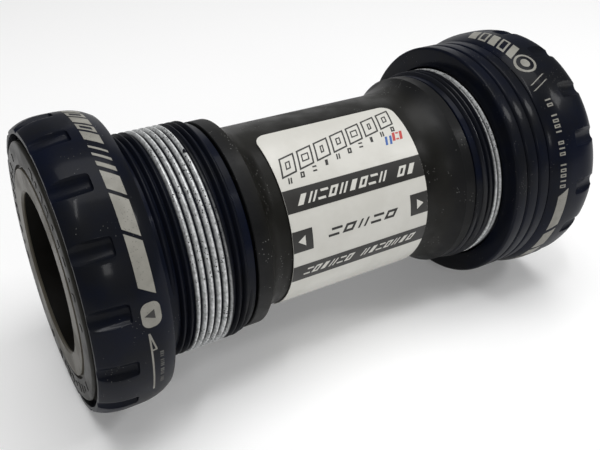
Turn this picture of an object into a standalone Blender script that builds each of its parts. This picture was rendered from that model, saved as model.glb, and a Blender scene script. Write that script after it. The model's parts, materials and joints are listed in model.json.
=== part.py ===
"""Threaded bicycle bottom bracket with two external bearing cups, a plastic centre sleeve,
loose shell spacers and complete sealed ball bearings.

The spindle axis is the Y axis, the right cup is at -Y and the left cup at +Y, and the origin is
halfway between the two outer faces. Lengths are in metres.
"""
import math

import bmesh
import bpy
from mathutils import Matrix, Vector

MM = 0.001

# Standard sizes of this kind of bottom bracket.
SPINDLE_BORE_R = 12.0 * MM
THREAD_R = 17.4 * MM
SHOULDER_SPAN = 68.0 * MM
BEARING_BORE_R = 12.55 * MM
BEARING_OUTER_R = 18.5 * MM
BEARING_WIDTH = 7.0 * MM
BALL_R = 1.75 * MM
BALL_PITCH_R = 15.5 * MM
BALL_COUNT = 17
NOTCH_COUNT = 16

# Clearances: fixed neighbours, turning neighbours and faces that rest on each other.
SEAT_GAP = 0.1 * MM
RUNNING_GAP = 0.2 * MM
FACE_GAP = 0.3 * MM

# Cup, measured from its shoulder: outboard is -Y, the thread is +Y.
FLANGE_WIDTH = 10.6 * MM
FLANGE_R = 22.2 * MM
FLANGE_CROWN_DROP = 1.2 * MM
FLANGE_RIM_R = 20.86 * MM
RIM_ROUND = 0.45 * MM
MOUTH_R = 20.3 * MM
MOUTH_DEPTH = 1.3 * MM
CUP_BORE_R = 15.2 * MM
RELIEF_R = 16.6 * MM
RELIEF_WIDTH = 2.1 * MM
THREAD_CHAMFER = 0.5 * MM
RIGHT_THREAD_LENGTH = 14.3 * MM
LEFT_THREAD_LENGTH = 12.3 * MM
NOTCH_CUTTER_R = 1.6 * MM
NOTCH_FLOOR_R = 20.85 * MM
NOTCH_LENGTH = 5.1 * MM
RIGHT_NOTCH_PHASE = math.radians(12.5)
LEFT_NOTCH_PHASE = math.radians(3.0)

# Bearing and dust cap, in the same cup frame.
BEARING_CENTRE = -5.7 * MM
BEARING_SEAT_FLOOR = BEARING_CENTRE + BEARING_WIDTH / 2 + FACE_GAP
INNER_SHOULDER_R = 14.1 * MM
OUTER_SHOULDER_R = 16.9 * MM
BALL_GAP = 0.12 * MM
SEAL_THICKNESS = 0.5 * MM
CAP_PROUD = 0.4 * MM
CAP_R = 19.3 * MM
CAP_THICKNESS = 1.4 * MM
CAP_GROOVE_R = 15.7 * MM
CAP_GROOVE_WIDTH = 0.5 * MM
CAP_GROOVE_DEPTH = 0.5 * MM
BUSH_WALL = 0.45 * MM
CAGE_RING_OFFSET = 1.95 * MM
CAGE_RING_WIDTH = 0.7 * MM
CAGE_HALF_HEIGHT = 0.8 * MM
CAGE_FINGER_LENGTH = 3.2 * MM

# Centre sleeve, along the whole axis.
SLEEVE_BORE_R = 12.8 * MM
SLEEVE_R = 14.85 * MM
SPIGOT_END = 33.0 * MM
RIGHT_RIM = -19.3 * MM
LEFT_RIM = 21.4 * MM
COLLAR_R = 16.85 * MM
RIGHT_COLLAR_WIDTH = 2.4 * MM
LEFT_COLLAR_WIDTH = 2.0 * MM
TUBE_HALF_LENGTH = 14.0 * MM
ORING_INSET = 6.0 * MM
ORING_GROOVE_R = 13.75 * MM
ORING_GROOVE_WIDTH = 2.0 * MM
ORING_SECTION_R = 0.6 * MM

# Shell spacers, stacked on the left cup's shoulder.
SPACER_PITCH = 2.5 * MM
SPACER_R = 21.1 * MM
SPACER_BORE_R = 17.7 * MM
SPACER_CHAMFER = 0.3 * MM

# Printed film round the middle of the sleeve.
LABEL_LENGTH = 25.2 * MM
LABEL_CENTRE = 0.05 * MM
LABEL_THICKNESS = 0.12 * MM
LABEL_TOP = math.radians(80.0)
LABEL_BOTTOM = math.radians(-62.0)
LABEL_STEPS = 20

CUP_SIDES = 48
RING_SIDES = 32


def clear_scene():
    for obj in list(bpy.data.objects):
        bpy.data.objects.remove(obj, do_unlink=True)


def material(name, colour, roughness, metallic):
    made = bpy.data.materials.new(name)
    made.use_nodes = True
    shader = made.node_tree.nodes["Principled BSDF"]
    shader.inputs["Base Color"].default_value = (*colour, 1.0)
    shader.inputs["Roughness"].default_value = roughness
    shader.inputs["Metallic"].default_value = metallic
    return made


def object_from(bm, name, finish, parent=None):
    """One named object from a bmesh, its faces turned outwards and shaded smooth."""
    bmesh.ops.recalc_face_normals(bm, faces=bm.faces[:])
    mesh = bpy.data.meshes.new(name)
    bm.to_mesh(mesh)
    bm.free()
    mesh.shade_smooth()
    mesh.set_sharp_from_angle(angle=math.radians(30.0))
    mesh.materials.append(finish)
    obj = bpy.data.objects.new(name, mesh)
    bpy.context.scene.collection.objects.link(obj)
    obj.parent = parent
    return obj


def turned(profile, sides):
    """A closed outline of (y, radius) points spun once round the Y axis."""
    bm = bmesh.new()
    points = [bm.verts.new((radius, y, 0.0)) for y, radius in profile]
    edges = [bm.edges.new((a, b)) for a, b in zip(points, points[1:] + points[:1])]
    bmesh.ops.spin(
        bm, geom=points + edges, cent=(0, 0, 0), axis=(0, 1, 0),
        angle=math.tau, steps=sides, use_merge=True,
    )
    bmesh.ops.remove_doubles(bm, verts=bm.verts[:], dist=0.001 * MM)
    return bm


def rectangle(y_low, y_high, r_low, r_high):
    return [(y_low, r_low), (y_low, r_high), (y_high, r_high), (y_high, r_low)]


def crowned_flange():
    """The flange's barrel: its radius falls with the cube of the distance from the middle."""
    middle = -FLANGE_WIDTH / 2
    half = FLANGE_WIDTH / 2
    stations = (-0.9, -0.6, 0.0, 0.6, 0.82, 1.0)
    return [
        (middle + half * s, FLANGE_R - FLANGE_CROWN_DROP * abs(s) ** 3)
        for s in stations
    ]


def cup_profile(thread_length):
    face = -FLANGE_WIDTH
    seat_r = BEARING_OUTER_R + SEAT_GAP
    return (
        [(face, MOUTH_R), (face, FLANGE_RIM_R)]
        + crowned_flange()
        + [
            (0.0, RELIEF_R),
            (RELIEF_WIDTH, RELIEF_R),
            (RELIEF_WIDTH + THREAD_R - RELIEF_R, THREAD_R),
            (thread_length - THREAD_CHAMFER, THREAD_R),
            (thread_length, THREAD_R - THREAD_CHAMFER),
            (thread_length, CUP_BORE_R),
            (BEARING_SEAT_FLOOR, CUP_BORE_R),
            (BEARING_SEAT_FLOOR, seat_r),
            (face + MOUTH_DEPTH, seat_r),
            (face + MOUTH_DEPTH, MOUTH_R),
        ]
    )


def notch_cutter(name, phase, parent):
    """Round bars that cut the spanner notches in from the flange's outer face."""
    bm = bmesh.new()
    length = NOTCH_LENGTH + 1.0 * MM
    middle = -FLANGE_WIDTH + NOTCH_LENGTH - length / 2
    for k in range(NOTCH_COUNT):
        turn = Matrix.Rotation(-(phase + k * math.tau / NOTCH_COUNT), 4, "Y")
        place = Matrix.Translation((NOTCH_FLOOR_R + NOTCH_CUTTER_R, middle, 0.0))
        upright = Matrix.Rotation(math.pi / 2, 4, "X")
        bmesh.ops.create_cone(
            bm, cap_ends=True, segments=12, radius1=NOTCH_CUTTER_R,
            radius2=NOTCH_CUTTER_R, depth=length, matrix=turn @ place @ upright,
        )
    cutter = object_from(bm, name, STEEL, parent)
    cutter.hide_render = True
    cutter.display_type = "WIRE"
    return cutter


def make_cup(side, thread_length, notch_phase, parent):
    cup = object_from(turned(cup_profile(thread_length), CUP_SIDES), side + "_cup", ANODISED, parent)
    cut = cup.modifiers.new("spanner_notches", "BOOLEAN")
    cut.operation = "DIFFERENCE"
    cut.solver = "EXACT"
    cut.object = notch_cutter(side + "_notch_cutter", notch_phase, parent)
    return cup


def raceway(shoulder_r, back_r, side_sign):
    """A bearing ring's section: side_sign +1 puts the ball groove on its outer side."""
    low = BEARING_CENTRE - BEARING_WIDTH / 2
    high = BEARING_CENTRE + BEARING_WIDTH / 2
    groove_r = BALL_R + BALL_GAP
    reach = abs(shoulder_r - BALL_PITCH_R)
    half_angle = math.acos(reach / groove_r)
    groove = [
        (
            BEARING_CENTRE + groove_r * math.sin(half_angle * t),
            BALL_PITCH_R - side_sign * groove_r * math.cos(half_angle * t),
        )
        for t in (-1.0, -0.5, 0.0, 0.5, 1.0)
    ]
    return (
        [(low, back_r), (low, shoulder_r)]
        + groove
        + [(high, shoulder_r), (high, back_r)]
    )


def make_races(side, parent):
    inner = turned(raceway(INNER_SHOULDER_R, BEARING_BORE_R, 1), RING_SIDES)
    outer = turned(raceway(OUTER_SHOULDER_R, BEARING_OUTER_R, -1), RING_SIDES)
    object_from(inner, side + "_inner_race", STEEL, parent)
    object_from(outer, side + "_outer_race", STEEL, parent)


def make_cage(side, parent):
    """A crown cage: a ring beside the balls, with one finger between each pair of balls."""
    sides = 3 * BALL_COUNT
    low = BEARING_CENTRE + CAGE_RING_OFFSET
    section = rectangle(
        low, low + CAGE_RING_WIDTH, BALL_PITCH_R - CAGE_HALF_HEIGHT, BALL_PITCH_R + CAGE_HALF_HEIGHT
    )
    bm = turned(section, sides)
    bm.normal_update()
    step = math.tau / sides
    near_side = [
        face for face in bm.faces
        if all(abs(v.co.y - low) < 0.01 * MM for v in face.verts)
    ]
    for face in near_side:
        middle = face.calc_center_median()
        index = round((math.atan2(middle.z, middle.x) - step / 2) / step)
        if index % 3 == 1:
            finger = bmesh.ops.extrude_discrete_faces(bm, faces=[face])["faces"][0]
            bmesh.ops.translate(bm, vec=(0, -CAGE_FINGER_LENGTH, 0), verts=finger.verts)
    bmesh.ops.remove_doubles(bm, verts=bm.verts[:], dist=0.001 * MM)
    object_from(bm, side + "_ball_cage", NYLON, parent)


def make_balls(side, parent):
    """Each ball sits halfway between two cage fingers."""
    pitch = math.tau / BALL_COUNT
    bm = bmesh.new()
    bmesh.ops.create_icosphere(bm, subdivisions=2, radius=BALL_R)
    first = object_from(bm, side + "_ball_01", CHROME, parent)
    for k in range(BALL_COUNT):
        ball = first
        if k:
            ball = bpy.data.objects.new(f"{side}_ball_{k + 1:02d}", first.data)
            bpy.context.scene.collection.objects.link(ball)
            ball.parent = parent
        angle = k * pitch
        ball.location = Vector((
            BALL_PITCH_R * math.cos(angle), BEARING_CENTRE, BALL_PITCH_R * math.sin(angle)
        ))


def make_seals(side, parent):
    seal_r = (INNER_SHOULDER_R + RUNNING_GAP, OUTER_SHOULDER_R - SEAT_GAP)
    outboard = BEARING_CENTRE - BEARING_WIDTH / 2 + SEAT_GAP
    inboard = BEARING_CENTRE + BEARING_WIDTH / 2 - SEAT_GAP
    for name, low in (("outboard", outboard), ("inboard", inboard - SEAL_THICKNESS)):
        bm = turned(rectangle(low, low + SEAL_THICKNESS, *seal_r), RING_SIDES)
        object_from(bm, f"{side}_{name}_seal", RUBBER, parent)


def make_dust_cap(side, parent):
    """The plastic cap whose thin bush lines the inner race down to the spindle's size."""
    face = -FLANGE_WIDTH - CAP_PROUD
    back = face + CAP_THICKNESS
    bush_r = SPINDLE_BORE_R + BUSH_WALL
    bush_end = BEARING_CENTRE + BEARING_WIDTH / 2 + SEAT_GAP
    groove_low = CAP_GROOVE_R - CAP_GROOVE_WIDTH / 2
    groove_high = CAP_GROOVE_R + CAP_GROOVE_WIDTH / 2
    profile = [
        (face, SPINDLE_BORE_R),
        (face, groove_low),
        (face + CAP_GROOVE_DEPTH, groove_low),
        (face + CAP_GROOVE_DEPTH, groove_high),
        (face, groove_high),
        (face, CAP_R - RIM_ROUND),
        (face + RIM_ROUND, CAP_R),
        (back, CAP_R),
        (back, bush_r),
        (bush_end, bush_r),
        (bush_end, SPINDLE_BORE_R),
    ]
    object_from(turned(profile, RING_SIDES), side + "_dust_cap", CAP_PLASTIC, parent)


def make_end(side, shoulder_y, facing, thread_length, notch_phase):
    """One cup with its bearing and dust cap, built about the shoulder and turned to face out."""
    centre = bpy.data.objects.new(side + "_end", None)
    bpy.context.scene.collection.objects.link(centre)
    centre.location = (0.0, shoulder_y, 0.0)
    centre.rotation_euler = (0.0, 0.0, facing)
    make_cup(side, thread_length, notch_phase, centre)
    make_races(side, centre)
    make_cage(side, centre)
    make_balls(side, centre)
    make_seals(side, centre)
    make_dust_cap(side, centre)


def collar_slope(rim, collar_width, side_sign):
    """From the collar's inner edge down a hollow curve to the tube, as points of (y, radius)."""
    start = rim + side_sign * collar_width
    end = side_sign * -TUBE_HALF_LENGTH
    drop = COLLAR_R - SLEEVE_R
    return [
        (start + (end - start) * t, COLLAR_R - drop * (1.0 - (1.0 - t) ** 2))
        for t in (0.0, 0.3, 0.65, 1.0)
    ]


def oring_groove(centre, side_sign):
    half = ORING_GROOVE_WIDTH / 2
    outer_y = centre - side_sign * half
    inner_y = centre + side_sign * half
    return [
        (outer_y, SLEEVE_R), (outer_y, ORING_GROOVE_R), (inner_y, ORING_GROOVE_R), (inner_y, SLEEVE_R)
    ]


def make_sleeve():
    """The plastic tube that keeps water off the bearings inside the shell."""
    right_ring = RIGHT_RIM - ORING_INSET
    left_ring = LEFT_RIM + ORING_INSET
    right = (
        [(-SPIGOT_END, SLEEVE_BORE_R), (-SPIGOT_END, SLEEVE_R)]
        + oring_groove(right_ring, 1)
        + [(RIGHT_RIM, SLEEVE_R), (RIGHT_RIM, COLLAR_R)]
        + collar_slope(RIGHT_RIM, RIGHT_COLLAR_WIDTH, 1)
    )
    left = (
        [(SPIGOT_END, SLEEVE_BORE_R), (SPIGOT_END, SLEEVE_R)]
        + oring_groove(left_ring, -1)
        + [(LEFT_RIM, SLEEVE_R), (LEFT_RIM, COLLAR_R)]
        + collar_slope(LEFT_RIM, LEFT_COLLAR_WIDTH, -1)
    )
    object_from(turned(right + left[::-1], RING_SIDES), "center_sleeve", SLEEVE_PLASTIC)
    for name, y in (("sleeve_oring_right", right_ring), ("sleeve_oring_left", left_ring)):
        centre_r = CUP_BORE_R - SEAT_GAP - ORING_SECTION_R
        turns = [k * math.tau / 6 for k in range(6)]
        section = [
            (y + ORING_SECTION_R * math.sin(turn), centre_r + ORING_SECTION_R * math.cos(turn))
            for turn in turns
        ]
        object_from(turned(section, RING_SIDES), name, RUBBER)


def make_label():
    """A strip of printed film, bent round the tube and open along its underside."""
    bm = bmesh.new()
    inner_r = SLEEVE_R + 1.5 * SEAT_GAP
    outer_r = inner_r + LABEL_THICKNESS
    low = LABEL_CENTRE - LABEL_LENGTH / 2
    high = LABEL_CENTRE + LABEL_LENGTH / 2
    corners = [
        bm.verts.new((r * math.cos(LABEL_TOP), y, r * math.sin(LABEL_TOP)))
        for y, r in rectangle(low, high, inner_r, outer_r)
    ]
    first = bm.faces.new(corners)
    bmesh.ops.spin(
        bm, geom=[first], cent=(0, 0, 0), axis=(0, 1, 0),
        angle=LABEL_TOP - LABEL_BOTTOM, steps=LABEL_STEPS,
    )
    object_from(bm, "sleeve_label", LABEL_FILM)


def make_spacers():
    """Three loose rings that pack a narrow shell out to the bearing spacing."""
    shoulder = SHOULDER_SPAN / 2
    width = SPACER_PITCH - SEAT_GAP
    for k, name in enumerate(("spacer_outer", "spacer_middle", "spacer_inner")):
        high = shoulder - SEAT_GAP / 2 - k * SPACER_PITCH
        low = high - width
        profile = [
            (low, SPACER_BORE_R),
            (low, SPACER_R - SPACER_CHAMFER),
            (low + SPACER_CHAMFER, SPACER_R),
            (high - SPACER_CHAMFER, SPACER_R),
            (high, SPACER_R - SPACER_CHAMFER),
            (high, SPACER_BORE_R),
        ]
        object_from(turned(profile, RING_SIDES), name, ANODISED)


clear_scene()

ANODISED = material("black_anodised_aluminium", (0.016, 0.017, 0.022), 0.42, 0.55)
SLEEVE_PLASTIC = material("black_moulded_plastic", (0.022, 0.021, 0.018), 0.55, 0.0)
CAP_PLASTIC = material("taupe_plastic", (0.19, 0.175, 0.155), 0.4, 0.0)
LABEL_FILM = material("white_film", (0.8, 0.79, 0.77), 0.35, 0.0)
STEEL = material("bearing_steel", (0.55, 0.55, 0.54), 0.25, 1.0)
CHROME = material("polished_steel", (0.75, 0.75, 0.76), 0.08, 1.0)
NYLON = material("cage_nylon", (0.45, 0.36, 0.22), 0.5, 0.0)
RUBBER = material("seal_rubber", (0.012, 0.012, 0.013), 0.7, 0.0)

make_end("right", -SHOULDER_SPAN / 2, 0.0, RIGHT_THREAD_LENGTH, RIGHT_NOTCH_PHASE)
make_end("left", SHOULDER_SPAN / 2, math.pi, LEFT_THREAD_LENGTH, math.pi - LEFT_NOTCH_PHASE)
make_sleeve()
make_label()
make_spacers()
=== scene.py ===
# %% [markdown]
# # A threaded bicycle bottom bracket
# This lesson dresses a finished engineering model, which has every solid in its place and
# every joint on its axis. What is left is the look: fine threads, spanner notches with eased
# edges, printed marks, a film label and the finishes. Nothing here moves or resizes a part.

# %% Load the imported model
import json
import math

import bpy
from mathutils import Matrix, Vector


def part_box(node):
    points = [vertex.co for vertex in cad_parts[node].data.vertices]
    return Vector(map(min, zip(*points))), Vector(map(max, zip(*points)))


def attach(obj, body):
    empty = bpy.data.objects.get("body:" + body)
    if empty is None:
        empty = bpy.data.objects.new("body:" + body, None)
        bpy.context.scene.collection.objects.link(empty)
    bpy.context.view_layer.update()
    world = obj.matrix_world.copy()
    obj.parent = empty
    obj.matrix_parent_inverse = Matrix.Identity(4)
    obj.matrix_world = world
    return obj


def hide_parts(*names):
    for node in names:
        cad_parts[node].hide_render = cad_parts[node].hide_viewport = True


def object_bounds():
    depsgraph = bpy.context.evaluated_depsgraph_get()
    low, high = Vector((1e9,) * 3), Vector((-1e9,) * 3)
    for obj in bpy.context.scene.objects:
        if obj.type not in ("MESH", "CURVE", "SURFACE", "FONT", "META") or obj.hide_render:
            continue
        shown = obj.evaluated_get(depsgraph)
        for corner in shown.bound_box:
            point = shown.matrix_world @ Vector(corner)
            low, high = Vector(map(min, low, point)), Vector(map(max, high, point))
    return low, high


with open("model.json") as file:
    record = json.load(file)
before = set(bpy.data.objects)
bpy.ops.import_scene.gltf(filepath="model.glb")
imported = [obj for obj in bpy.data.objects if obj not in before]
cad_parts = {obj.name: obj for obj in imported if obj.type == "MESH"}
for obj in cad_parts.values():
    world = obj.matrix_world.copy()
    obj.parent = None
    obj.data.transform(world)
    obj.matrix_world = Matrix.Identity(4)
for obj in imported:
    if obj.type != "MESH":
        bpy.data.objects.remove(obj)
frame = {"nodes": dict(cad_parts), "record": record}
CAD_LOW, CAD_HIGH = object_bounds()
MM = 0.001
print("CAD box, mm:", [round(v / MM, 2) for v in (*CAD_LOW, *CAD_HIGH)])

# %% [markdown]
# ## The camera and the light
# The lens is a little longer than normal, and the camera stands near the right-hand cup, so
# that the cup looms and the far one is small. The light is plain and soft: wide panels above
# and behind, and small lamps that draw thin highlights. The air in front stays dim, which is
# what makes black parts look black. The lamps come last, when there is something to light.

# %% Camera
bpy.context.scene.view_settings.view_transform = "Standard"
CAMERA_PLACE = Vector((94.5, -58.7, 60.4)) * MM
CAMERA_FORWARD = Vector((-0.7394, 0.4394, -0.5102))
LENS = 44.4

camera_data = bpy.data.cameras.new("camera")
camera_data.lens = LENS
camera_data.clip_start = 5 * MM
camera = bpy.data.objects.new("camera", camera_data)
bpy.context.scene.collection.objects.link(camera)
camera.location = CAMERA_PLACE
camera.rotation_euler = CAMERA_FORWARD.to_track_quat("-Z", "Y").to_euler()
bpy.context.scene.camera = camera

# %% Helpers for working by hand
def select_none():
    if bpy.context.mode != "OBJECT":
        bpy.ops.object.mode_set(mode="OBJECT")
    bpy.ops.object.select_all(action="DESELECT")


def pick(*objects):
    """Selects these objects only, and makes the first one active."""
    select_none()
    for each in objects:
        each.select_set(True)
    bpy.context.view_layer.objects.active = objects[0]
    return objects[0]


def edit(piece):
    pick(piece)
    bpy.ops.object.mode_set(mode="EDIT")
    bpy.ops.mesh.select_all(action="SELECT")


def leave_edit():
    bpy.ops.object.mode_set(mode="OBJECT")


def named(name):
    """Gives the object that was just added its name and puts its place into its mesh."""
    piece = bpy.context.object
    piece.name = name
    piece.data.name = name
    bpy.ops.object.transform_apply(location=True, rotation=True, scale=True)
    return piece


def apply_all(piece):
    pick(piece)
    for modifier in list(piece.modifiers):
        bpy.ops.object.modifier_apply(modifier=modifier.name)
    return piece


def ease_edges(piece, width, segments=2, angle=35):
    """Rounds the sharp edges a little, as a deburring tool or a mould does."""
    bevel = piece.modifiers.new("eased edges", "BEVEL")
    bevel.width = width
    bevel.segments = segments
    bevel.limit_method = "ANGLE"
    bevel.angle_limit = math.radians(angle)
    return apply_all(piece)


def smooth(piece, angle=35):
    pick(piece)
    bpy.ops.object.shade_smooth_by_angle(angle=math.radians(angle))
    return piece


def join(name, pieces):
    first = pick(*pieces)
    if len(pieces) > 1:
        bpy.ops.object.join()
    first.name = name
    first.data.name = name
    return first


def select_open_edges():
    """Selects the edges that have a face on one side only."""
    bpy.ops.mesh.select_mode(type="EDGE")
    bpy.ops.mesh.select_all(action="DESELECT")
    bpy.ops.mesh.select_non_manifold(extend=False, use_wire=False, use_multi_face=False,
                                     use_non_contiguous=False, use_verts=False)


def face_outwards():
    """Turns every face outwards and leaves edit mode."""
    bpy.ops.mesh.select_mode(type="VERT")
    bpy.ops.mesh.select_all(action="SELECT")
    bpy.ops.mesh.normals_make_consistent(inside=False)
    leave_edit()


# %% [markdown]
# ## Turning on a lathe
# Almost every part here is round about the spindle's axis, so one helper does the work of a
# lathe. It adds a circle, extrudes it from station to station and resizes it to each radius,
# then bridges the last ring to the first. A station is a place along Y and a radius. This was
# chosen over a Screw modifier because each step can be seen in edit mode.

# %% The lathe
RING_SIDES = 192


def turn(name, stations, sides=RING_SIDES):
    """A closed ring, turned about Y through stations of (y, radius)."""
    select_none()
    y, radius = stations[0]
    bpy.ops.mesh.primitive_circle_add(
        vertices=sides, radius=radius, location=(0, y, 0), rotation=(math.pi / 2, 0, 0)
    )
    piece = named(name)
    edit(piece)
    for next_y, next_radius in stations[1:]:
        bpy.ops.mesh.extrude_region_move(TRANSFORM_OT_translate={"value": (0, next_y - y, 0)})
        grow = next_radius / radius
        bpy.ops.transform.resize(value=(grow, 1, grow), center_override=(0, next_y, 0))
        y, radius = next_y, next_radius
    select_open_edges()
    bpy.ops.mesh.bridge_edge_loops()
    face_outwards()
    return piece


# %% [markdown]
# ## Shared effects
# Three effects turn up in more than one finish, so each is a node group with named sockets:
# a slow cloudy change of tone, fine lathe lines that run round the part, and small specks
# such as dust, pits or lint. Each material sets its own amounts.

# %% Node helpers
def plug(tree, node, **inputs):
    """Links or sets a node's sockets by name, with _ for a space, or by number, as i0, i1."""
    for key, value in inputs.items():
        socket = node.inputs[int(key[1:]) if key[1:].isdigit() else key.replace("_", " ")]
        if isinstance(value, bpy.types.NodeSocket):
            tree.links.new(value, socket)
        else:
            socket.default_value = value
    return node


def add_node(tree, kind, settings=None, **inputs):
    """A node with its settings, its input values and its links, all in one line."""
    made = tree.nodes.new(kind)
    for key, value in (settings or {}).items():
        setattr(made, key, value)
    return plug(tree, made, **inputs)


def maths(tree, operation, first, second=0.0):
    made = add_node(tree, "ShaderNodeMath", {"operation": operation}, i0=first, i1=second)
    return made.outputs[0]


def ramp(tree, value, low, high, to_low=0.0, to_high=1.0):
    """Maps low..high to to_low..to_high and holds the ends."""
    made = add_node(tree, "ShaderNodeMapRange", {"interpolation_type": "SMOOTHSTEP"},
                    i0=value, i1=low, i2=high, i3=to_low, i4=to_high)
    return made.outputs[0]


def mix_colour(tree, factor, first, second):
    made = add_node(tree, "ShaderNodeMix", {"data_type": "RGBA"}, i0=factor, i6=first, i7=second)
    return made.outputs[2]


def group(name, inputs, outputs):
    """An empty node group, the sockets that come into it, and its output node."""
    tree = bpy.data.node_groups.new(name, "ShaderNodeTree")
    for label, kind, value in inputs:
        socket = tree.interface.new_socket(label, in_out="INPUT", socket_type=kind)
        if value is not None:
            socket.default_value = value
    for label, kind in outputs:
        tree.interface.new_socket(label, in_out="OUTPUT", socket_type=kind)
    print("effect", name, "gives", [label for label, _ in outputs])
    return tree, tree.nodes.new("NodeGroupInput").outputs, tree.nodes.new("NodeGroupOutput")


FLOAT, COLOUR, VECTOR = "NodeSocketFloat", "NodeSocketColor", "NodeSocketVector"

# %% The cloudy tone
CLOUDS, clouds_in, clouds_out = group(
    "cloudy_tone",
    [("Vector", VECTOR, None), ("Base", COLOUR, (0.5, 0.5, 0.5, 1)),
     ("Shade", COLOUR, (0.4, 0.4, 0.4, 1)), ("Scale", FLOAT, 200.0), ("Amount", FLOAT, 1.0)],
    [("Color", COLOUR), ("Mask", FLOAT)],
)
cloud_noise = add_node(CLOUDS, "ShaderNodeTexNoise", Vector=clouds_in["Vector"],
                       Scale=clouds_in["Scale"], Detail=5.0, Roughness=0.6)
CLOUD_LOW, CLOUD_HIGH = 0.35, 0.68
cloud_mask = ramp(CLOUDS, cloud_noise.outputs["Fac"], CLOUD_LOW, CLOUD_HIGH)
cloud_share = maths(CLOUDS, "MULTIPLY", cloud_mask, clouds_in["Amount"])
cloud_colour = mix_colour(CLOUDS, cloud_share, clouds_in["Base"], clouds_in["Shade"])
plug(CLOUDS, clouds_out, Color=cloud_colour, Mask=cloud_share)

# %% The lathe lines
LATHE_LINES, lines_in, lines_out = group(
    "lathe_lines",
    [("Vector", VECTOR, None), ("Lines per metre", FLOAT, 9000.0), ("Depth", FLOAT, 1.0)],
    [("Height", FLOAT)],
)
BROKEN_PER_METRE = 60.0        # how often a line breaks up, across the axis
line_squeeze = add_node(LATHE_LINES, "ShaderNodeCombineXYZ", X=BROKEN_PER_METRE,
                        Y=lines_in["Lines per metre"], Z=BROKEN_PER_METRE)
line_vector = add_node(LATHE_LINES, "ShaderNodeVectorMath", {"operation": "MULTIPLY"},
                       i0=lines_in["Vector"], i1=line_squeeze.outputs[0])
line_noise = add_node(LATHE_LINES, "ShaderNodeTexNoise", Vector=line_vector.outputs[0],
                      Scale=1.0, Detail=3.0, Roughness=0.7)
line_height = maths(LATHE_LINES, "MULTIPLY", line_noise.outputs["Fac"], lines_in["Depth"])
plug(LATHE_LINES, lines_out, Height=line_height)

# %% The specks
SPECKS, specks_in, specks_out = group(
    "specks",
    [("Vector", VECTOR, None), ("Scale", FLOAT, 1500.0), ("Size", FLOAT, 0.12),
     ("Patches", FLOAT, 0.5)],
    [("Mask", FLOAT)],
)
speck_cells = add_node(SPECKS, "ShaderNodeTexVoronoi", Vector=specks_in["Vector"],
                       Scale=specks_in["Scale"])
speck_dots = maths(SPECKS, "LESS_THAN", speck_cells.outputs["Distance"], specks_in["Size"])
PATCH_SCALE = 260.0
patch_noise = add_node(SPECKS, "ShaderNodeTexNoise", Vector=specks_in["Vector"],
                       Scale=PATCH_SCALE, Detail=3.0)
speck_patch = maths(SPECKS, "GREATER_THAN", patch_noise.outputs["Fac"], specks_in["Patches"])
plug(SPECKS, specks_out, Mask=maths(SPECKS, "MULTIPLY", speck_dots, speck_patch))


# %% A finish, from its groups
def cloudy(tree, where, base, shade, scale, amount=1.0):
    """The cloudy tone's colour and its mask."""
    made = add_node(tree, "ShaderNodeGroup", {"node_tree": CLOUDS}, Vector=where, Base=base,
                    Shade=shade, Scale=scale, Amount=amount)
    return made.outputs["Color"], made.outputs["Mask"]


def specks(tree, where, scale, size, patches):
    made = add_node(tree, "ShaderNodeGroup", {"node_tree": SPECKS}, Vector=where, Scale=scale,
                    Size=size, Patches=patches)
    return made.outputs["Mask"]


def lathe_lines(tree, where, depth=1.0, per_metre=9000.0):
    made = add_node(tree, "ShaderNodeGroup", {"node_tree": LATHE_LINES}, Vector=where,
                    Lines_per_metre=per_metre, Depth=depth)
    return made.outputs["Height"]


def new_finish(name):
    """A material with its Principled shader and its Object coordinates."""
    made = bpy.data.materials.new(name)
    made.use_nodes = True
    print("finish", name)
    tree = made.node_tree
    where = tree.nodes.new("ShaderNodeTexCoord").outputs["Object"]
    return made, tree, tree.nodes["Principled BSDF"], where


def bump(tree, height, strength, distance):
    made = add_node(tree, "ShaderNodeBump", Strength=strength, Distance=distance, Height=height)
    return made.outputs[0]


def noise(tree, where, scale, detail, **inputs):
    made = add_node(tree, "ShaderNodeTexNoise", Vector=where, Scale=scale, Detail=detail, **inputs)
    return made.outputs["Fac"]


def radius_of(tree, where):
    """How far a point is from the spindle's axis, and its place along it."""
    split = add_node(tree, "ShaderNodeSeparateXYZ", Vector=where)
    flat = add_node(tree, "ShaderNodeCombineXYZ", X=split.outputs["X"], Z=split.outputs["Z"])
    length = add_node(tree, "ShaderNodeVectorMath", {"operation": "LENGTH"}, i0=flat.outputs[0])
    return length.outputs["Value"], split.outputs["Y"]


# %% [markdown]
# ## The finishes
# The cups and spacers are black anodised aluminium: bead-blasted first, so the gloss is broad
# and soft, with a hint of navy. The dye isn't a metal to the eye, so its metallic value is
# nothing. It is sealed at the end, and a thin clear coat gives the seal's tight highlights.
# Grain could be painted by hand, but noise on the part's own coordinates never repeats. The
# sleeve is dull black nylon, the dust caps grey-brown plastic, and the label glossy film.

# %% Black anodising
BLACK_DYE = (0.0060, 0.0066, 0.0086, 1)
NAVY_DYE = (0.0026, 0.0044, 0.0125, 1)
DYE_CLOUDS = 75.0
BLACK_SHEEN = 0.05
SEAL_COAT, SEAL_ROUGH = 0.08, 0.12
LINT_GREY = (0.11, 0.11, 0.105, 1)


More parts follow.
